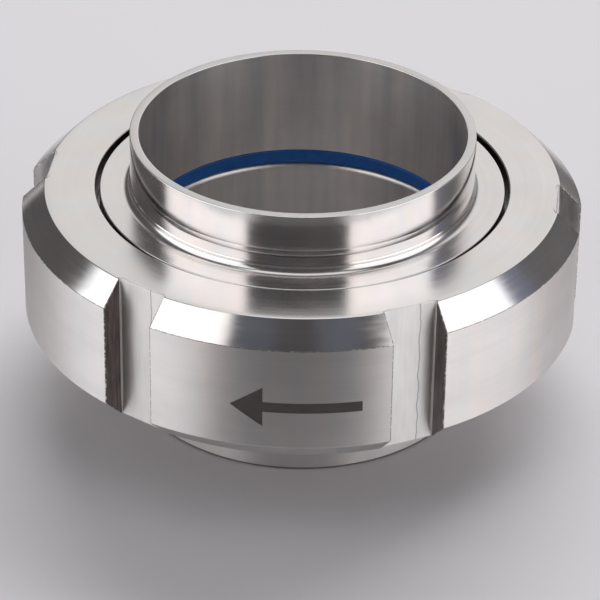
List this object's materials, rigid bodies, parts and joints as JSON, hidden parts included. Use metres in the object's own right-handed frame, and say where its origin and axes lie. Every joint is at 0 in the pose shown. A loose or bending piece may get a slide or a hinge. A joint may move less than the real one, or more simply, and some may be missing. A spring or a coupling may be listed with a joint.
{
  "type": "sanitary union",
  "caption": "Threaded sanitary pipe union: weld ferrules with a rubber seal between them, held together by a slotted round nut.",
  "frame": {"origin": "centre of the lower tube's end face, on the flow axis", "axes": "+Z along the flow axis, upwards from the male part to the liner; -Y midway between two of the nut's slots"},
  "size_m": [0.0618, 0.062, 0.032],
  "materials": {
    "nut_steel": "turned and lightly polished stainless steel",
    "ferrule_steel": "fine turned stainless steel",
    "seal_rubber": "smooth matt blue rubber",
    "laser_mark": "dark matt laser marking"
  },
  "bodies": {
    "lower_ferrule": {"male_part": "ferrule_steel", "seal": "seal_rubber"},
    "upper_ferrule": {"liner": "ferrule_steel"},
    "union_nut": {"nut": "nut_steel"}
  },
  "joints": [
    {"name": "liner_lift", "type": "slide", "parent": "lower_ferrule", "child": "upper_ferrule", "axis": [0, 0, 1], "range_m": [0, 0.0078]},
    {"name": "nut_turn", "type": "hinge", "parent": "upper_ferrule", "child": "union_nut", "pos_m": [0, 0, 0.017], "axis": [0, 0, 1], "range_deg": [0, 660]}
  ],
  "couplings": [
    {"joint": "liner_lift", "follows": "nut_turn", "m_per_rad": 0.00067376}
  ]
}
